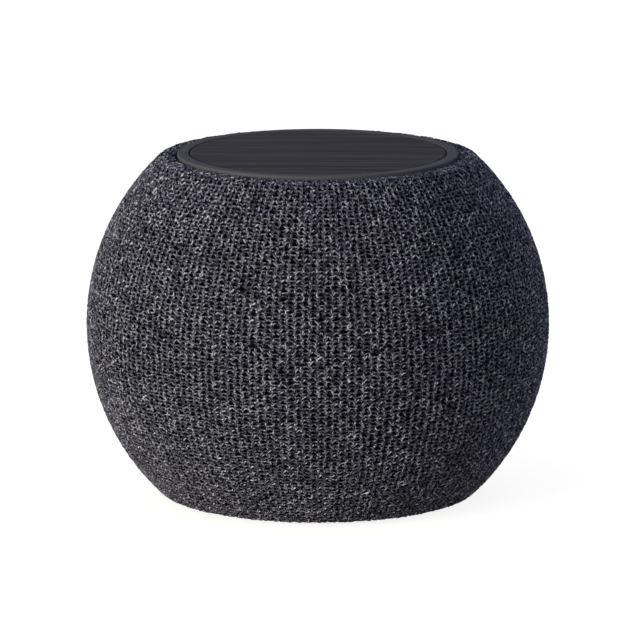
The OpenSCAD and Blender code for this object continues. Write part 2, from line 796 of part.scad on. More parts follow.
module control_panel() {
    color([0.13, 0.13, 0.14]) difference() {
        intersection() {
            difference() {
                ball(panel_r);
                ball(panel_in_r);
            }
            union() {
                difference() {
                    panel_prism(0);
                    ball(shell_out_r + 0.05);
                }
                panel_prism(panel_plug_inset);
            }
        }
        for (x = button_x) translate([x, 30, button_z]) rotate([-90, 0, 0])
            cylinder(r = button_d / 2 + button_gap, h = 40, $fn = 48);
        translate([0, 70, port_z]) rotate([90, 0, 0]) linear_extrude(height = 30)
            rounded_rect(port_w + 0.3, port_h + 0.3, port_h / 2);
        translate([led_x, 40, port_z]) rotate([-90, 0, 0]) cylinder(r = 1, h = 30, $fn = small_fn);
        translate([mic_x, 40, port_z]) rotate([-90, 0, 0]) cylinder(r = 0.6, h = 30, $fn = tiny_fn);
    }
}

// A push button: a round cap that follows the ball, a retaining flange behind the panel and a
// stem that reaches the switch
module push_button(x) {
    stem_y = button_board_y + board_t + switch_h + plunger_h;
    color([0.17, 0.17, 0.18]) {
        difference() {
            union() {
                intersection() {
                    ball(panel_r + button_proud);
                    translate([x, stem_y - 5, button_z]) rotate([-90, 0, 0])
                        cylinder(r = button_d / 2, h = 30, $fn = 48);
                }
                intersection() {
                    ball(panel_in_r - 0.3);
                    translate([x, stem_y - 5, button_z]) rotate([-90, 0, 0])
                        cylinder(r = button_d / 2 + 0.8, h = 30, $fn = 48);
                }
            }
            ball(cap_in_r);
        }
        intersection() {
            ball(cap_in_r + 0.5);
            translate([x, stem_y, button_z]) rotate([-90, 0, 0]) cylinder(r = 1.6, h = 20, $fn = small_fn);
        }
    }
}

module plunger(x) {
    color([0.75, 0.2, 0.15]) translate([x, button_board_y + board_t + switch_h - 1.2, button_z])
        rotate([-90, 0, 0]) cylinder(r = 1.5, h = plunger_h + 1.2, $fn = small_fn);
}

module button_power() {
    push_button(button_x[0]);
}

module button_minus() {
    push_button(button_x[1]);
}

module button_play() {
    push_button(button_x[2]);
}

module button_plus() {
    push_button(button_x[3]);
}

module plunger_power() {
    plunger(button_x[0]);
}

module plunger_minus() {
    plunger(button_x[1]);
}

module plunger_play() {
    plunger(button_x[2]);
}

module plunger_plus() {
    plunger(button_x[3]);
}

module button_board() {
    color([0.04, 0.26, 0.15]) difference() {
        translate([-27, button_board_y, button_z - button_board_h / 2]) cube([54, board_t, button_board_h]);
        for (x = [-25, 25]) translate([x, button_board_y - 1, button_z + 4]) rotate([-90, 0, 0])
            cylinder(r = 0.8, h = 4, $fn = tiny_fn);
    }
}

// Switch cases: a hollow box each, so that the plunger can sink into it
module tact_switches() {
    color([0.15, 0.15, 0.16]) for (x = button_x)
        translate([x, button_board_y + board_t, button_z]) rotate([-90, 0, 0]) difference() {
            translate([-switch_w / 2, -switch_w / 2, 0]) cube([switch_w, switch_w, switch_h]);
            translate([0, 0, switch_h - 1.9]) cylinder(r = 1.75, h = 3, $fn = small_fn);
        }
}

module ribbon_cable() {
    z_top = button_z - 3;
    t = 0.3;
    y = button_board_y - t - 0.05;
    z_low = board_z + board_t + 1.5;
    bend = 3;
    outer = concat([[y + t, z_top]], arc([y + t - bend, z_low + bend], bend, 0, -90, 6), [[34, z_low]]);
    inner = concat([[y, z_top]], arc([y + t - bend, z_low + bend], bend - t, 0, -90, 6), [[34, z_low + t]]);
    color([0.85, 0.85, 0.8]) translate([14, 0, 0]) rotate([90, 0, 90]) linear_extrude(height = 8)
        polygon(concat(outer, [for (i = [len(inner) - 1:-1:0]) inner[i]]));
}

// ---------------------------------------------------------------- battery and leads

module battery_cell() {
    color([0.25, 0.35, 0.5]) translate([battery_x, -battery_size[1] / 2, battery_z]) {
        cube(battery_size);
        // Sealed top edge with the protection board
        translate([2.5, 4, battery_size[2]]) cube([3, battery_size[1] - 8, 1.6]);
    }
}

module battery_bracket() {
    gap = 0.2;
    inner = battery_size + [gap, 2 * gap, 2 * gap + 1.8];
    back_x = battery_x + inner[0];
    hook = 3;
    color([0.85, 0.85, 0.83]) difference() {
        union() {
            translate([battery_x - 0.4, -inner[1] / 2 - bracket_wall, battery_z - gap - bracket_wall])
                cube([inner[0] + 0.4 + bracket_wall, inner[1] + 2 * bracket_wall,
                      inner[2] + 2 * bracket_wall]);
            translate([back_x, -7, chamber_z - 5]) cube([10, 14, 10]);
        }
        translate([battery_x - 1, -inner[1] / 2, battery_z - gap]) cube(inner + [1, 0, 0]);
        // The cell is held by corner hooks, so the walls are open in the middle
        translate([battery_x - 1, -inner[1], battery_z + 8])
            cube([inner[0], 2 * inner[1], battery_size[2] - 16]);
        translate([battery_x - 1, -inner[1] / 2 + hook * 2, battery_z - 10])
            cube([inner[0], inner[1] - hook * 4, battery_size[2] + 30]);
        facing_rear(-20) cylinder(r = chamber_r + 0.03, h = 40);
    }
}

module battery_lead() {
    color([0.7, 0.1, 0.1]) for (y = [-1.2, 1.2]) wire([
        [-38.5, y - 9, 71.7], [-37.5, y - 9.3, 74.6], [-34, y - 9.6, 75.8], [-31, y - 10, 73],
        [-30.2, y - 10, 60], [-30.2, y - 10, 40], [-30.3, y - 9, 26], [-29.6, y - 4, 18],
        [-27.6, y - 0.4, 14.5], [-25.1, y, 14.2]], 0.55);
}

module driver_leads() {
    color([0.1, 0.1, 0.1]) for (s = [-1, 1]) wire([
        [8.5 + s, -10.05, 13.6], [8.7 + s, -13, 14.2], [10 + s * 0.6, -19, 17], [10 + s * 0.6, -20, 20],
        [10 + s * 0.6, -20.2, 26], [9 + s, -24, 30.5], [8 + s, -28, 32.8], [8 + s, -30.2, 33.8]], 0.45);
}

module charger_lead() {
    color([0.85, 0.8, 0.2]) for (s = [-1, 1]) wire([
        [24.05, 7 + s * 0.8, 14], [27.5, 7 + s * 0.8, 15.5], [30, 7 + s * 0.8, 24], [30.5, 7 + s * 0.8, 48],
        [29, 7 + s * 0.8, 70], [25, 7.5 + s * 0.8, 77.2], [18.05, 8 + s * 0.8, 78.6]], 0.45);
}

knit_sleeve();
top_trim_ring();
charging_plate();
control_panel();
button_power();
button_minus();
button_play();
button_plus();
plunger_power();
plunger_minus();
plunger_play();
plunger_plus();
light_pipe();
foot_ring();
base_cover();
base_screws();
upper_grille_shell();
lower_grille_shell();
shell_screws();
charging_coil();
ferrite_disc();
temperature_sensor();
coil_carrier();
charger_board();
charger_components();
chamber_front();
chamber_rear();
chamber_seal();
driver_basket();
driver_gasket();
driver_top_plate();
driver_magnet();
driver_yoke();
driver_cone();
dust_cap();
voice_coil();
driver_surround();
driver_spider();
radiator_frame();
radiator_surround();
radiator_diaphragm();
radiator_weight();
speaker_screws();
inner_screws();
main_board();
main_board_components();
radio_shield_can();
usb_port();
status_led();
microphone();
microphone_boot();
antenna_board();
button_board();
tact_switches();
ribbon_cable();
battery_cell();
battery_bracket();
battery_lead();
driver_leads();
charger_lead();
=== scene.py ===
"""Looks of the ball-shaped smart home hub: knitted sleeve, grained charging top, rear panel."""
import json
import math

import bpy
import numpy as np
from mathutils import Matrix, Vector


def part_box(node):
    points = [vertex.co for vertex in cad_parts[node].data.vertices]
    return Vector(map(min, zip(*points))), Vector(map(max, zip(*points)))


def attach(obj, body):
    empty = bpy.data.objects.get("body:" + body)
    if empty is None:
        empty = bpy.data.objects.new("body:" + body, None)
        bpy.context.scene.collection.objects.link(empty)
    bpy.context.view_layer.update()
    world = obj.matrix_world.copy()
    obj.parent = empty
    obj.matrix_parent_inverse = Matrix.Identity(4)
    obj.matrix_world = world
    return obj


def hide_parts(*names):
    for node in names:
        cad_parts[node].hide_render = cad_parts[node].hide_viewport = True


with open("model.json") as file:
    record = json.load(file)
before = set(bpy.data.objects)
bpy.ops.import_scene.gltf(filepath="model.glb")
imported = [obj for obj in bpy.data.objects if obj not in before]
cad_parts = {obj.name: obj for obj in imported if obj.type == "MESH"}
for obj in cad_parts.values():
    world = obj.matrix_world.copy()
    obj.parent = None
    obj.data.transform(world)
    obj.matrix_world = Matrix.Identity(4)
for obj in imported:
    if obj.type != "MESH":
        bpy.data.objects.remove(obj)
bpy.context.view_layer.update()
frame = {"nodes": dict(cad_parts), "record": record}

MM = 0.001
SEED = 12

# ---------------------------------------------------------------- sizes read from the frame

SLEEVE_LOW, SLEEVE_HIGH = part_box("knit_sleeve")
RING_LOW, RING_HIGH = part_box("top_trim_ring")
PLATE_LOW, PLATE_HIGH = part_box("charging_plate")
COVER_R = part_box("base_cover")[1].x
PANEL_LOW, PANEL_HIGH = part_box("control_panel")
WAIST_Z = (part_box("lower_grille_shell")[1].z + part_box("upper_grille_shell")[0].z) / 2
BALL_R = 60 * MM
RING_R = RING_HIGH.x
PLATE_R = PLATE_HIGH.x
PLATE_GAP = 0.35 * MM  # the groove between the plate and the trim ring

# ---------------------------------------------------------------- camera, light and floor

CAMERA_ELEVATION = math.radians(11.2)
CAMERA_DISTANCE = 30 * BALL_R
BALL_SHARE = 0.3625  # the ball's radius as a share of the picture's width
AIM = Vector((0.57 * MM, 0, WAIST_Z + 0.64 * MM))
SENSOR_W = 36  # millimetres

WHITE = (1, 1, 1)
DOME_LIGHT = 0.34
DOME_TINT = (0.85, 0.90, 1.20)
FLOOR_GLOW = 0.86
FLOOR_SIZE = 12
KEY_WATTS = 34
KEY_TINT = (1.0, 0.95, 0.82)
KEY_AZIMUTH, KEY_ELEVATION = -48, 3
KEY_DISTANCE, KEY_SIZE = 1.6, 0.9


def make_camera():
    """A long lens in front and a little above, aimed just beside the ball's middle."""
    data = bpy.data.cameras.new("camera")
    data.sensor_width = SENSOR_W
    data.lens = data.sensor_width * BALL_SHARE * CAMERA_DISTANCE / BALL_R
    data.clip_start, data.clip_end = 0.05, 20
    camera = bpy.data.objects.new("camera", data)
    back = Vector((0, -math.cos(CAMERA_ELEVATION), math.sin(CAMERA_ELEVATION)))
    camera.location = AIM + back * CAMERA_DISTANCE
    camera.rotation_euler = (-back).to_track_quat("-Z", "Y").to_euler()
    bpy.context.scene.collection.objects.link(camera)
    bpy.context.scene.camera = camera


def make_key_light():
    """A square soft box that faces the ball. Azimuth 0 is in front, 90 on the right."""
    data = bpy.data.lights.new("key", "AREA")
    data.shape, data.size, data.energy, data.color = "SQUARE", KEY_SIZE, KEY_WATTS, KEY_TINT
    light = bpy.data.objects.new("key", data)
    a, e = math.radians(KEY_AZIMUTH), math.radians(KEY_ELEVATION)
    away = Vector((math.sin(a) * math.cos(e), -math.cos(a) * math.cos(e), math.sin(e)))
    light.location = Vector((0, 0, WAIST_Z)) + away * KEY_DISTANCE
    light.rotation_euler = (-away).to_track_quat("-Z", "Y").to_euler()
    bpy.context.scene.collection.objects.link(light)


def seen_and_felt(tree, seen, felt, strength):
    """Gives the camera the strength `seen` and the light that falls on the ball the strength `felt`."""
    node = tree.nodes.new("ShaderNodeMath")
    node.operation = "MULTIPLY_ADD"
    tree.links.new(tree.nodes.new("ShaderNodeLightPath").outputs["Is Camera Ray"], node.inputs[0])
    node.inputs[1].default_value = seen - felt
    node.inputs[2].default_value = felt
    tree.links.new(node.outputs["Value"], strength)


def make_studio():
    """A white sweep under an even cool dome, with one large warm soft box on the left."""
    world = bpy.data.worlds.new("studio")
    world.use_nodes = True
    sky = world.node_tree.nodes["Background"]
    tree = world.node_tree
    seen = tree.nodes.new("ShaderNodeLightPath").outputs["Is Camera Ray"]
    tree.links.new(mixed(tree, seen, DOME_TINT, WHITE), sky.inputs["Color"])
    seen_and_felt(tree, 1.0, DOME_LIGHT, sky.inputs["Strength"])
    bpy.context.scene.world = world
    bpy.context.scene.view_settings.view_transform = "Standard"
    make_key_light()

    bpy.ops.mesh.primitive_plane_add(size=FLOOR_SIZE, location=(0, 0, 0))
    floor = bpy.context.object
    floor.name = "floor"
    floor.data.materials.append(plain_floor())


# ---------------------------------------------------------------- materials

def new_material(name):
    """A material with its node tree, its Principled shader and a position in metres."""
    material = bpy.data.materials.new(name)
    material.use_nodes = True
    tree = material.node_tree
    shader = tree.nodes["Principled BSDF"]
    place = tree.nodes.new("ShaderNodeTexCoord").outputs["Object"]
    return material, tree, shader, place


def scaled(tree, place, scale):
    """A place stretched by its own factor along each axis."""
    node = tree.nodes.new("ShaderNodeMapping")
    node.inputs["Scale"].default_value = scale
    tree.links.new(place, node.inputs["Vector"])
    return node.outputs["Vector"]


def noise(tree, place, scale, detail=3.0, rough=0.55):
    """Cloudy noise from 0 to 1, with about scale clouds to a unit of place."""
    node = tree.nodes.new("ShaderNodeTexNoise")
    node.inputs["Scale"].default_value = scale
    node.inputs["Detail"].default_value = detail
    node.inputs["Roughness"].default_value = rough
    tree.links.new(place, node.inputs["Vector"])
    return node.outputs["Fac"]


def ramp(tree, value, stops):
    """A colour ramp: stops are (position, colour), and a plain number stands for a grey."""
    node = tree.nodes.new("ShaderNodeValToRGB")
    band = node.color_ramp
    for i, (at, colour) in enumerate(stops):
        stop = band.elements[i] if i < 2 else band.elements.new(at)
        stop.position = at
        grey = isinstance(colour, (int, float))
        stop.color = (colour, colour, colour, 1) if grey else (*colour, 1)
    tree.links.new(value, node.inputs["Fac"])
    return node.outputs["Color"]


def mixed(tree, share, first, second, mode="MIX"):
    """Colours mixed by share; each input is an output socket or a plain colour or number."""
    node = tree.nodes.new("ShaderNodeMix")
    node.data_type, node.blend_type = "RGBA", mode
    for socket, value in (("Factor", share), ("A", first), ("B", second)):
        target = next(s for s in node.inputs if s.name == socket and s.enabled)
        if isinstance(value, bpy.types.NodeSocket):
            tree.links.new(value, target)
        else:
            target.default_value = value if socket == "Factor" else (*value, 1)
    return next(s for s in node.outputs if s.enabled)


def add_bump(tree, shader, height, strength, depth):
    """Shades the surface as if it rose by depth, in metres, where height is 1."""
    node = tree.nodes.new("ShaderNodeBump")
    node.inputs["Strength"].default_value = strength
    node.inputs["Distance"].default_value = depth
    tree.links.new(height, node.inputs["Height"])
    tree.links.new(node.outputs["Normal"], shader.inputs["Normal"])


def set_plain(shader, **values):
    """Sets the shader's inputs that are the same all over the surface."""
    names = {"rough": "Roughness", "metal": "Metallic", "specular": "Specular IOR Level",
             "sheen": "Sheen Weight", "coat": "Coat Weight", "clear": "Transmission Weight", "ior": "IOR"}
    for key, value in values.items():
        shader.inputs[names[key]].default_value = value


def vary(colour, share):
    """A colour made darker or brighter by a factor."""
    return tuple(min(1.0, c * share) for c in colour)


def plain_floor():
    """Pale and slightly warm, so that the cool dome leaves it a neutral white."""
    material, tree, shader, place = new_material("floor")
    cloud = noise(tree, place, 3.0, 2.0)
    colour = ramp(tree, cloud, [(0.3, (0.62, 0.57, 0.45)), (0.7, (0.64, 0.59, 0.47))])
    tree.links.new(colour, shader.inputs["Base Color"])
    shader.inputs["Emission Color"].default_value = (*WHITE, 1)
    seen_and_felt(tree, FLOOR_GLOW, 0.0, shader.inputs["Emission Strength"])
    set_plain(shader, rough=0.9, specular=0.0)
    return material


def moulded(name, colour, rough=0.55, grain=9000, depth=0.02 * MM, specular=0.3, coat=0.0):
    """Moulded plastic: a fine spark texture with slightly uneven colour and gloss."""
    material, tree, shader, place = new_material(name)
    cloud = noise(tree, place, 90, 4.0)
    base = ramp(tree, cloud, [(0.3, vary(colour, 0.92)), (0.7, vary(colour, 1.07))])
    tree.links.new(base, shader.inputs["Base Color"])
    gloss = noise(tree, place, 400, 3.0)
    tree.links.new(ramp(tree, gloss, [(0.3, rough - 0.05), (0.7, rough + 0.05)]), shader.inputs["Roughness"])
    add_bump(tree, shader, noise(tree, place, grain, 2.0), 0.35, depth)
    set_plain(shader, specular=specular, coat=coat)
    return material


def rubbery(name, colour, rough=0.75):
    """Moulded rubber: coarser and duller than plastic."""
    return moulded(name, colour, rough=rough, grain=5000, depth=0.03 * MM, specular=0.2)


def metallic(name, colour, rough=0.32, brush=(1, 1, 40)):
    """Sheet or turned metal with fine tool marks drawn along one direction."""
    material, tree, shader, place = new_material(name)
    marks = noise(tree, scaled(tree, place, brush), 900, 4.0)
    base = ramp(tree, marks, [(0.3, vary(colour, 0.9)), (0.7, vary(colour, 1.05))])
    tree.links.new(base, shader.inputs["Base Color"])
    tree.links.new(ramp(tree, marks, [(0.3, rough - 0.07), (0.7, rough + 0.08)]), shader.inputs["Roughness"])
    add_bump(tree, shader, marks, 0.15, 0.01 * MM)
    set_plain(shader, metal=1.0)
    return material


def woven(name, colour):
    """Resin-set cloth: crossed threads half a millimetre apart."""
    material, tree, shader, place = new_material(name)
    threads = None
    for axis in ((1, 0, 0), (0, 0, 1)):
        wave = tree.nodes.new("ShaderNodeTexWave")
        wave.inputs["Scale"].default_value = 600
        tree.links.new(scaled(tree, place, axis), wave.inputs["Vector"])
        grey = wave.outputs["Color"]
        threads = grey if threads is None else mixed(tree, 1.0, threads, grey, "MULTIPLY")
    base = mixed(tree, threads, vary(colour, 0.55), vary(colour, 1.1))
    tree.links.new(base, shader.inputs["Base Color"])
    add_bump(tree, shader, threads, 0.6, 0.05 * MM)
    set_plain(shader, rough=0.85, sheen=0.3)
    return material


def circuit_board(name, colour):
    """Green solder mask with copper tracks showing through as paler lines."""
    material, tree, shader, place = new_material(name)
    cells = tree.nodes.new("ShaderNodeTexVoronoi")
    cells.distance, cells.feature = "MANHATTAN", "DISTANCE_TO_EDGE"
    cells.inputs["Scale"].default_value = 330
    tree.links.new(place, cells.inputs["Vector"])
    tracks = ramp(tree, cells.outputs["Distance"], [(0.04, 1.0), (0.07, 0.0)])
    base = mixed(tree, tracks, colour, vary(colour, 2.2))
    tree.links.new(base, shader.inputs["Base Color"])
    add_bump(tree, shader, tracks, 0.4, 0.03 * MM)
    set_plain(shader, rough=0.35, specular=0.5)
    return material


def clear_plastic(name, colour):
    """Clear moulding with a faint haze."""
    material, tree, shader, place = new_material(name)
    haze = noise(tree, place, 700, 2.0)
    tree.links.new(ramp(tree, haze, [(0.3, vary(colour, 0.95)), (0.7, colour)]), shader.inputs["Base Color"])
    set_plain(shader, rough=0.12, clear=0.9, ior=1.49)
    return material


def grained_top():
    """The charging plate: satin, with a straight fine grain running from left to right."""
    material, tree, shader, place = new_material("grained_top")
    streaks = noise(tree, scaled(tree, place, (40, 1600, 40)), 1.0, 5.0, 0.7)
    bands = noise(tree, scaled(tree, place, (16, 400, 20)), 1.0, 2.0, 0.6)
    grain = mixed(tree, 0.35, streaks, bands)
    base = ramp(tree, grain, [(0.42, (0.012, 0.011, 0.010)), (0.58, (0.082, 0.071, 0.060))])
    tree.links.new(base, shader.inputs["Base Color"])
    tree.links.new(ramp(tree, streaks, [(0.3, 0.5), (0.7, 0.62)]), shader.inputs["Roughness"])
    add_bump(tree, shader, grain, 0.35, 0.03 * MM)
    set_plain(shader, specular=0.12)
    return material


def attribute(tree, name):
    """The outputs of a named attribute that the mesh carries."""
    node = tree.nodes.new("ShaderNodeAttribute")
    node.attribute_name = name
    return node.outputs


FIBRE_GRAIN = (1.2, 3.8, 60)  # noise to a millimetre along and across the yarn, and between strands
PALE_STRANDS = 0.06  # how much a strand's own tone adds to its share of pale fibres
FIBRE_BULGE = 0.25  # the fibres' share in the fine bumps; the rest is the roundness of the yarn
YARN_SHADES = ((0.46, (0.003, 0.003, 0.012)), (0.53, (0.020, 0.020, 0.041)),
               (0.58, (0.14, 0.14, 0.19)), (0.63, (0.90, 0.90, 1.0)))
PAINTED_DEPTH_SHADE = ((0.04, 0.02), (0.20, 0.36), (0.40, 0.78), (0.7, 1.0))  # painted shade: yarn deep in the knit is darkened, standing in for the shade there


def melange_yarn():
    """Knit of black yarn spun with pale fibres.

    The mesh carries its own yarn coordinates: millimetres along and across, and a number for each strand,
    and its relief, which darkens the yarn deep in the knit as painted shade.
    """
    material, tree, shader, _ = new_material("melange_yarn")
    yarn = attribute(tree, "yarn")["Vector"]
    fibres = noise(tree, scaled(tree, yarn, FIBRE_GRAIN), 1.0, 2.0, 0.6)
    parts = tree.nodes.new("ShaderNodeSeparateXYZ")
    tree.links.new(yarn, parts.inputs["Vector"])
    paleness = tree.nodes.new("ShaderNodeMath")
    paleness.operation = "MULTIPLY_ADD"
    tree.links.new(parts.outputs["Z"], paleness.inputs[0])
    paleness.inputs[1].default_value = PALE_STRANDS
    tree.links.new(fibres, paleness.inputs[2])
    shade = ramp(tree, paleness.outputs["Value"], YARN_SHADES)
    relief = attribute(tree, "relief")
    # Painted shade: the yarn colour is multiplied down where the relief is low, deep in the knit.
    depth = ramp(tree, relief["Fac"], PAINTED_DEPTH_SHADE)
    tree.links.new(mixed(tree, 1.0, shade, depth, "MULTIPLY"), shader.inputs["Base Color"])
    bulge = mixed(tree, FIBRE_BULGE, relief["Color"], fibres)
    add_bump(tree, shader, bulge, 1.0, 0.45 * MM)
    set_plain(shader, rough=0.9, specular=0.05)
    return material


BLACK_ABS = (0.016, 0.016, 0.018)
RECIPES = {
    "knit": melange_yarn,
    "trim": lambda: moulded("trim", (0.100, 0.098, 0.095), rough=0.6, specular=0.15),
    "plate": grained_top,
    "panel": lambda: moulded("panel", BLACK_ABS, rough=0.5),
    "button": lambda: rubbery("button", (0.022, 0.022, 0.025), rough=0.6),
    "plunger": lambda: moulded("plunger", (0.35, 0.03, 0.02)),
    "clear": lambda: clear_plastic("clear", (0.85, 0.92, 1.0)),
    "silicone": lambda: rubbery("silicone", (0.012, 0.012, 0.012)),
    "base": lambda: moulded("base", BLACK_ABS, rough=0.6),
    "screw_steel": lambda: metallic("screw_steel", (0.55, 0.55, 0.57)),
    "shell": lambda: moulded("shell", (0.02, 0.02, 0.021), rough=0.6),
    "litz_copper": lambda: metallic("litz_copper", (0.72, 0.33, 0.13), brush=(60, 60, 1)),
    "ferrite": lambda: moulded("ferrite", (0.035, 0.033, 0.032), rough=0.45),
    "epoxy": lambda: moulded("epoxy", (0.01, 0.05, 0.02), rough=0.2, coat=0.5),
    "white_abs": lambda: moulded("white_abs", (0.62, 0.62, 0.6), rough=0.5),
    "circuit_board": lambda: circuit_board("circuit_board", (0.008, 0.06, 0.028)),
    "chips": lambda: moulded("chips", (0.014, 0.014, 0.015), rough=0.4),
    "chamber": lambda: moulded("chamber", (0.03, 0.03, 0.032), rough=0.5),
    "foam": lambda: rubbery("foam", (0.01, 0.01, 0.01), rough=0.95),
    "black_steel": lambda: moulded("black_steel", (0.022, 0.022, 0.024), rough=0.35, specular=0.5),
    "zinc_steel": lambda: metallic("zinc_steel", (0.6, 0.6, 0.61), rough=0.38),
    "paper_cone": lambda: woven("paper_cone", (0.03, 0.03, 0.032)),
    "butyl": lambda: rubbery("butyl", (0.008, 0.008, 0.008), rough=0.5),
    "spider_cloth": lambda: woven("spider_cloth", (0.5, 0.38, 0.14)),
    "diaphragm": lambda: metallic("diaphragm", (0.06, 0.06, 0.065), rough=0.4),
    "tin_plate": lambda: metallic("tin_plate", (0.7, 0.7, 0.69), rough=0.25),
    "led": lambda: clear_plastic("led", (0.95, 0.95, 0.88)),
    "antenna_film": lambda: moulded("antenna_film", (0.55, 0.25, 0.05), rough=0.3),
    "ribbon": lambda: moulded("ribbon", (0.65, 0.65, 0.58), rough=0.35),
    "battery_wrap": lambda: metallic("battery_wrap", (0.12, 0.18, 0.3), rough=0.35),
    "wire_red": lambda: moulded("wire_red", (0.4, 0.012, 0.01), rough=0.4),
    "wire_black": lambda: moulded("wire_black", (0.01, 0.01, 0.01), rough=0.4),
    "wire_yellow": lambda: moulded("wire_yellow", (0.62, 0.42, 0.03), rough=0.4),
}
MATERIALS = {}


def finish_of(slot):
    """The material of a slot, made the first time it is asked for."""
    if slot not in MATERIALS:
        MATERIALS[slot] = RECIPES[slot]()
    return MATERIALS[slot]


def dress_cad_nodes():
    """Gives each CAD node the finish of the slot that the record names for it."""
    for part in frame["record"]["subparts"]:
        node = frame["nodes"][part["node"]]
        node.data.materials.clear()
        node.data.materials.append(finish_of(part["material_slot"]))


# ---------------------------------------------------------------- mesh helpers

def arc(centre, radius, start, end, steps):
    """Points of an arc in the (r, z) plane, angles in degrees."""
    angles = np.radians(np.linspace(start, end, steps + 1))
    return [(centre[0] + radius * math.cos(a), centre[1] + radius * math.sin(a)) for a in angles]


def grid_faces(rows, columns, closed):
    """Corner indices of the quads of a grid whose points run row by row."""
    r, c = np.meshgrid(np.arange(rows - 1), np.arange(columns if closed else columns - 1), indexing="ij")
    after = (c + 1) % columns
    return np.stack([r * columns + c, r * columns + after, (r + 1) * columns + after, (r + 1) * columns + c],
                    axis=-1).reshape(-1, 4)


def mesh_object(name, points, quads, slot):
    """A smooth-shaded object from points and the corner indices of its quads."""
    mesh = bpy.data.meshes.new(name)
    mesh.vertices.add(len(points))
    mesh.vertices.foreach_set("co", np.asarray(points, np.float32).ravel())
    mesh.loops.add(quads.size)
    mesh.loops.foreach_set("vertex_index", quads.astype(np.int32).ravel())
    mesh.polygons.add(len(quads))
    mesh.polygons.foreach_set("loop_start", np.arange(len(quads), dtype=np.int32) * 4)
    mesh.polygons.foreach_set("use_smooth", np.full(len(quads), True))
    mesh.update(calc_edges=True)
    mesh.validate()
    mesh.materials.append(finish_of(slot))
    piece = bpy.data.objects.new(name, mesh)
    bpy.context.scene.collection.objects.link(piece)
    return piece


LATHE_STEPS = 360
WELD_GAP = 0.001 * MM


def lathe(name, outline, slot, node):
    """Turns a closed (r, z) outline round the Z axis to stand for a round CAD node."""
    turn = np.linspace(0, 2 * math.pi, LATHE_STEPS, endpoint=False)
    radius, height = np.array(outline + outline[:1]).T
    points = np.stack([radius[:, None] * np.cos(turn), radius[:, None] * np.sin(turn),
                       np.repeat(height[:, None], LATHE_STEPS, axis=1)], axis=-1).reshape(-1, 3)
    piece = mesh_object(name, points, grid_faces(len(radius), LATHE_STEPS, True), slot)
    weld = piece.modifiers.new("weld", "WELD")
    weld.merge_threshold = WELD_GAP
    normals = piece.modifiers.new("normals", "WEIGHTED_NORMAL")
    normals.keep_sharp = True
    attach(piece, "hub")
    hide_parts(node)
    return piece


# ---------------------------------------------------------------- knitted sleeve

WALES = 192  # columns of stitches round the ball
GORES = 12  # the sleeve's mesh is made in this many strips of equal width
SAMPLES = 10  # mesh rows and columns to a stitch
STITCH_H = 2.03 * MM  # a stitch's height at the widest circle
WALE_W = 2 * math.pi * BALL_R / WALES
STRETCH = 0.36  # how much taller a stitch gets towards the top and bottom, where wales are narrow
RELIEF = 0.63 * MM  # from the deepest part of the knit to its highest
TWIST = 0.45  # slope of the fibres across the yarn
LIFTS = (0.55, 1.0)  # how proud a strand stands, at random
WANDER = 0.17  # how far a stitch strays from its place, in stitches
SHOULDER_R = 2.4 * MM
HEM_R = 4.0 * MM
RING_EDGE = RING_R + 0.15 * MM  # the knit ends here at the top
HEM_EDGE = COVER_R + 0.5 * MM  # and here underneath
PANEL_CORNER_R = 10 * MM
BEHIND_PANEL = 0.5 * MM  # how far the knit runs in behind the panel's edge

# Where the knit is tucked in, it dips and its relief flattens, over these stretches from each edge.
TUCK_DEPTH = 0.35 * MM
TUCK_FLATTENS = 0.5
RING_TUCK_W = 0.75 * MM
HEM_TUCK_W = 1.0 * MM
PANEL_TUCK = (0.1 * MM, 1.3 * MM)

# Right half of one stitch, in wales across and stitches down from the middle of its opening.
# Each strand of yarn is a line of points, then its radius in millimetres and its height at both ends.
STRANDS = (
    (((0.05, -0.32), (0.33, -0.11), (0.60, 0.13)), (0.19, 0.26), (0.95, 0.50)),
    (((0.68, -0.12), (0.61, 0.12), (0.46, 0.29), (0.22, 0.34), (0.0, 0.29)), (0.28, 0.17), (0.62, 0.92)),
)


def sleeve_outline():
    """Dense (r, z) points and outward normals of the sleeve's outer face, from top to bottom."""
    top = SLEEVE_HIGH.z - WAIST_Z
    bottom = WAIST_Z - SLEEVE_LOW.z
    top_c = (math.sqrt((BALL_R - SHOULDER_R) ** 2 - (top - SHOULDER_R) ** 2), top - SHOULDER_R)
    low_c = (math.sqrt((BALL_R - HEM_R) ** 2 - (bottom - HEM_R) ** 2), HEM_R - bottom)
    top_a = math.degrees(math.atan2(top_c[1], top_c[0]))
    low_a = math.degrees(math.atan2(low_c[1], low_c[0]))
    path = [(r, top) for r in np.linspace(RING_EDGE, top_c[0], 60)]
    path += arc(top_c, SHOULDER_R, 90, top_a, 60)[1:]
    path += arc((0, 0), BALL_R, top_a, low_a, 900)[1:]
    path += arc(low_c, HEM_R, low_a, -90, 60)[1:]
    path += [(r, -bottom) for r in np.linspace(low_c[0], HEM_EDGE, 100)][1:]
    path = np.array(path)
    along = np.gradient(path, axis=0)
    along /= np.linalg.norm(along, axis=1)[:, None]
    normal = np.stack([-along[:, 1], along[:, 0]], axis=1)
    path[:, 1] += WAIST_Z
    return path, normal


def stitch_rows(path):
    """Numbers the outline's points in stitches, counted down from the top."""
    step = np.linalg.norm(np.diff(path, axis=0), axis=1)
    height = (path[:-1, 1] + path[1:, 1]) / 2 - WAIST_Z
    pitch = STITCH_H * (1 + STRETCH * np.clip(height / BALL_R, -1, 1) ** 2)
    return np.concatenate([[0], np.cumsum(step / pitch)])


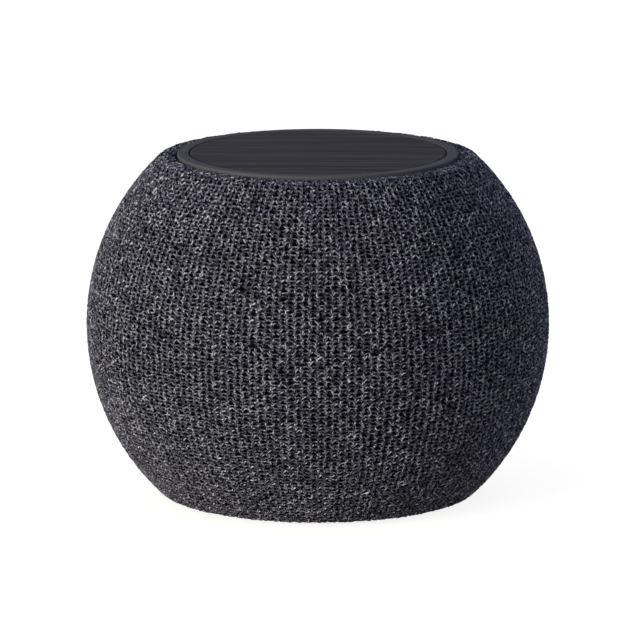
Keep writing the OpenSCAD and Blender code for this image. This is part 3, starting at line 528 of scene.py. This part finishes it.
def stitch_template():
    """One stitch's cell as a square grid: yarn height, place along and across the yarn, and whose it is.

    Neighbouring wales are half a stitch apart, so a neighbour's place is counted in half stitches.
    """
    ticks = np.arange(SAMPLES) / SAMPLES
    x, y = np.meshgrid(ticks - 0.5, ticks - 0.5)
    keys = ("height", "along", "across", "wale", "half", "part")
    cell = {key: np.zeros_like(x) for key in keys}
    owners = [(wale, half) for wale in (-1, 0, 1) for half in range(-3, 4) if (wale + half) % 2 == 0]
    for wale, half in owners:
        for side in (-1, 1):
            for kind, (points, girths, lifts) in enumerate(STRANDS):
                line = np.array([((wale + side * px) * WALE_W, (half / 2 + py) * STITCH_H)
                                 for px, py in points]) / MM
                lengths = np.linalg.norm(np.diff(line, axis=0), axis=1)
                for leg, start in enumerate(np.concatenate([[0], np.cumsum(lengths)])[:-1]):
                    way = (line[leg + 1] - line[leg]) / lengths[leg]
                    dx = x * WALE_W / MM - line[leg][0]
                    dy = y * STITCH_H / MM - line[leg][1]
                    run = np.clip(dx * way[0] + dy * way[1], 0, lengths[leg])
                    off = np.hypot(dx - run * way[0], dy - run * way[1])
                    share = (start + run) / lengths.sum()
                    girth, lift = (first + (last - first) * share for first, last in (girths, lifts))
                    height = lift * np.sqrt(np.clip(1 - (off / girth) ** 2, 0, 1))
                    better = height > cell["height"]
                    across = np.sign(dx * way[1] - dy * way[0]) * off
                    found = (height, start + run + TWIST * across, across, wale, half, kind + (side > 0) * 2)
                    for key, value in zip(keys, found):
                        cell[key] = np.where(better, value, cell[key])
    return cell


def spread(values, rows, columns):
    """Smooth field over the mesh from one value for each stitch."""
    top, left = np.floor(rows).astype(int), np.floor(columns).astype(int)
    down, right = (rows - top)[:, None], (columns - left)[None, :]
    at = [[values[np.ix_(top + i, (left + j) % WALES)] for j in (0, 1)] for i in (0, 1)]
    upper = at[0][0] * (1 - right) + at[0][1] * right
    lower = at[1][0] * (1 - right) + at[1][1] * right
    return upper * (1 - down) + lower * down


def knit_fields(row_count, rng):
    """Relief from 0 to 1, yarn coordinates, and sideways and downward wander over the whole sleeve."""
    cell = stitch_template()
    columns = np.arange(WALES * SAMPLES)
    wale = columns // SAMPLES
    shift = wale % 2
    local = np.arange(row_count)[:, None] + shift[None, :] * SAMPLES // 2
    pick = (local % SAMPLES, (columns % SAMPLES)[None, :])
    found = {key: values[pick] for key, values in cell.items()}
    count = row_count // SAMPLES + 4
    own_wale = (wale[None, :] + found["wale"].astype(int)) % WALES
    other_shift = own_wale % 2
    own_row = local // SAMPLES + ((found["half"] + other_shift - shift[None, :]) / 2).astype(int) + 1
    own = (np.clip(own_row, 0, count - 1), own_wale, found["part"].astype(int))
    lift = rng.uniform(*LIFTS, (count, WALES, 4))
    tone = rng.uniform(0, 1, (count, WALES, 4))
    places = (np.arange(row_count) / SAMPLES, columns / SAMPLES)
    wander = [spread(rng.uniform(-WANDER, WANDER, (count, WALES)), *places) for _ in range(2)]
    yarn = np.stack([found["along"], found["across"], tone[own]], axis=-1)
    return found["height"] * lift[own], yarn, wander


def panel_distance(x, z):
    """How far a point of the rear is outside the control panel's outline, in metres."""
    half_w = (PANEL_HIGH.x - PANEL_LOW.x) / 2 - PANEL_CORNER_R
    half_h = (PANEL_HIGH.z - PANEL_LOW.z) / 2 - PANEL_CORNER_R
    dx = np.abs(x) - half_w
    dz = np.abs(z - (PANEL_HIGH.z + PANEL_LOW.z) / 2) - half_h
    outside = np.hypot(np.maximum(dx, 0), np.maximum(dz, 0))
    inside = np.minimum(np.maximum(dx, dz), 0)
    return outside + inside - PANEL_CORNER_R


def smooth_step(value, low, high):
    """Rises from 0 at low to 1 at high, level at both ends."""
    t = np.clip((value - low) / (high - low), 0, 1)
    return t * t * (3 - 2 * t)


def make_sleeve():
    """The knitted tube, open at the control panel, in strips that meet without a seam."""
    rng = np.random.default_rng(SEED)
    path, normal = sleeve_outline()
    number = stitch_rows(path)
    row_count = int(number[-1] * SAMPLES)
    relief, yarn, (sideways, down) = knit_fields(row_count, rng)
    rows = np.clip(np.arange(row_count)[:, None] / SAMPLES + down, 0, number[-1])
    radius, height, out_r, out_z = (np.interp(rows, number, values) for values in (*path.T, *normal.T))

    turn = (np.arange(WALES * SAMPLES)[None, :] / SAMPLES + sideways) * 2 * math.pi / WALES
    across, back = np.cos(turn), np.sin(turn)
    from_panel = np.where(back > 0.3, panel_distance(radius * across, height), 1.0)
    at_panel = 1 - smooth_step(from_panel, *PANEL_TUCK)
    at_ring = (height > WAIST_Z) * (1 - smooth_step(radius, RING_EDGE, RING_EDGE + RING_TUCK_W))
    at_hem = (height < WAIST_Z) * (1 - smooth_step(radius, HEM_EDGE, HEM_EDGE + HEM_TUCK_W))
    tucked = np.maximum(np.maximum(at_panel, at_ring), at_hem)
    sunk = RELIEF * (1 - relief * (1 - TUCK_FLATTENS * tucked)) + TUCK_DEPTH * tucked

    r = radius - out_r * sunk
    points = np.stack([r * across, r * back, height - out_z * sunk], axis=-1)

    span = WALES // GORES * SAMPLES
    for gore in range(GORES):
        columns = (np.arange(span + 1) + gore * span) % (WALES * SAMPLES)
        quads = grid_faces(row_count, span + 1, False)
        away = from_panel[:, columns].ravel()
        quads = quads[(away[quads] > -BEHIND_PANEL).any(axis=1)][:, ::-1]
        used, quads = np.unique(quads, return_inverse=True)
        quads = quads.reshape(-1, 4)
        name = f"knit_sleeve_gore_{gore + 1}"
        piece = mesh_object(name, points[:, columns].reshape(-1, 3)[used], quads, "knit")
        layer = piece.data.attributes.new("yarn", "FLOAT_VECTOR", "POINT")
        layer.data.foreach_set("vector", yarn[:, columns].reshape(-1, 3)[used].astype(np.float32).ravel())
        # The relief also sets the painted shade that darkens the yarn deep in the knit.
        layer = piece.data.attributes.new("relief", "FLOAT", "POINT")
        layer.data.foreach_set("value", relief[:, columns].ravel()[used].astype(np.float32))
        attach(piece, "hub")
        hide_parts("knit_sleeve")


# ---------------------------------------------------------------- top

FLANGE_W, FLANGE_T = 4.9 * MM, 0.9 * MM  # the ring reaches in this far under the plate
RING_CHAMFER = 0.1 * MM
RING_ROUND, LIP_ROUND = 0.35 * MM, 0.2 * MM
RIM_H = 0.8 * MM  # the rim under the plate, which drops inside the ring's flange
RIM_OUT, RIM_IN = 5.2 * MM, 6.4 * MM
PLATE_ROUND = 0.25 * MM
MIDDLE_R = 0.01 * MM


def make_trim_ring():
    """The ring's lip round the plate, and its flange under the plate."""
    lip_r = PLATE_R + PLATE_GAP
    top, low = RING_HIGH.z, RING_LOW.z
    flange_r, flange_z = RING_R - FLANGE_W, low + FLANGE_T
    outline = [(flange_r, low), (RING_R - RING_CHAMFER, low), (RING_R, low + RING_CHAMFER)]
    outline += arc((RING_R - RING_ROUND, top - RING_ROUND), RING_ROUND, 0, 90, 12)
    outline += arc((lip_r + LIP_ROUND, top - LIP_ROUND), LIP_ROUND, 90, 180, 6)
    outline += [(lip_r, flange_z), (flange_r, flange_z)]
    lathe("trim_ring_fine", outline, "trim", "top_trim_ring")


def make_plate():
    """The charging plate with its rounded edge and its locating rim."""
    top, low = PLATE_HIGH.z, PLATE_LOW.z
    under_z = low + RIM_H
    rim_out, rim_in = RING_R - RIM_OUT, RING_R - RIM_IN
    outline = [(MIDDLE_R, under_z), (rim_in, under_z), (rim_in, low), (rim_out, low), (rim_out, under_z),
               (PLATE_R, under_z), (PLATE_R, top - PLATE_ROUND)]
    outline += arc((PLATE_R - PLATE_ROUND, top - PLATE_ROUND), PLATE_ROUND, 0, 90, 6)[1:]
    outline += [(r, top) for r in np.linspace(PLATE_R - 2 * PLATE_ROUND, MIDDLE_R, 8)]
    lathe("charging_plate_fine", outline, "plate", "charging_plate")


# ---------------------------------------------------------------- icons on the buttons

BUTTON_FACE_R = BALL_R + 0.6 * MM  # the button caps follow a ball this large
ICON_R = 1.6 * MM
ICON_STROKE = 0.42 * MM
ICON_RELIEF = 0.09 * MM
ICON_SIDES = 12
POWER_ARC = [(ICON_R * math.sin(math.radians(a)), ICON_R * math.cos(math.radians(a)))
             for a in range(40, 321, 10)]
PLAY_CORNERS = ((-0.55, 0.9), (0.95, 0.0), (-0.55, -0.9), (-0.55, 0.9))
PLAY_OUTLINE = [(ICON_R * u, ICON_R * v) for u, v in PLAY_CORNERS]
ICONS = {
    "power": (POWER_ARC, [(0, 0.1 * ICON_R), (0, 1.2 * ICON_R)]),
    "minus": ([(-ICON_R, 0), (ICON_R, 0)],),
    "play": (PLAY_OUTLINE,),
    "plus": ([(-ICON_R, 0), (ICON_R, 0)], [(0, -ICON_R), (0, ICON_R)]),
}


def fine_line(points, step):
    """The same open line with a point at least every step."""
    line = [points[0]]
    for (u0, v0), (u1, v1) in zip(points, points[1:]):
        pieces = max(1, math.ceil(math.hypot(u1 - u0, v1 - v0) / step))
        line += [(u0 + (u1 - u0) * i / pieces, v0 + (v1 - v0) * i / pieces) for i in range(1, pieces + 1)]
    return np.array(line)


def stroke(points, centre):
    """A raised round-ended line on the button's face; u runs to the right as seen from behind."""
    line = fine_line(points, ICON_STROKE / 4)
    along = np.gradient(line, axis=0)
    along /= np.linalg.norm(along, axis=1)[:, None]
    aside = np.stack([-along[:, 1], along[:, 0]], axis=1)
    run = np.concatenate([[0], np.cumsum(np.linalg.norm(np.diff(line, axis=0), axis=1))])
    to_end = np.minimum(run, run[-1] - run) / (ICON_STROKE / 2)
    width = np.sqrt(np.clip(1 - (1 - np.minimum(to_end, 1)) ** 2, 0.0004, 1)) * ICON_STROKE / 2
    turn = np.linspace(0, 2 * math.pi, ICON_SIDES, endpoint=False)
    across = np.cos(turn)[None, :] * width[:, None]
    u = line[:, :1] + aside[:, :1] * across
    v = line[:, 1:] + aside[:, 1:] * across
    rise = np.sin(turn)[None, :] * ICON_RELIEF * width[:, None] / (ICON_STROKE / 2)
    x, z = centre.x - u, centre.z + v
    y = np.sqrt((BUTTON_FACE_R + rise) ** 2 - x ** 2 - (z - WAIST_Z) ** 2)
    return np.stack([x, y, z], axis=-1).reshape(-1, 3), grid_faces(len(line), ICON_SIDES, True)


def make_icons():
    """Generic raised signs that ride on their buttons."""
    for name, strokes in ICONS.items():
        low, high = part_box(f"button_{name}")
        for number, points in enumerate(strokes):
            piece = mesh_object(f"icon_{name}_{number + 1}", *stroke(points, (low + high) / 2), "white_abs")
            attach(piece, f"{name}_button")


make_camera()
dress_cad_nodes()
make_studio()
make_sleeve()
make_trim_ring()
make_plate()
make_icons()
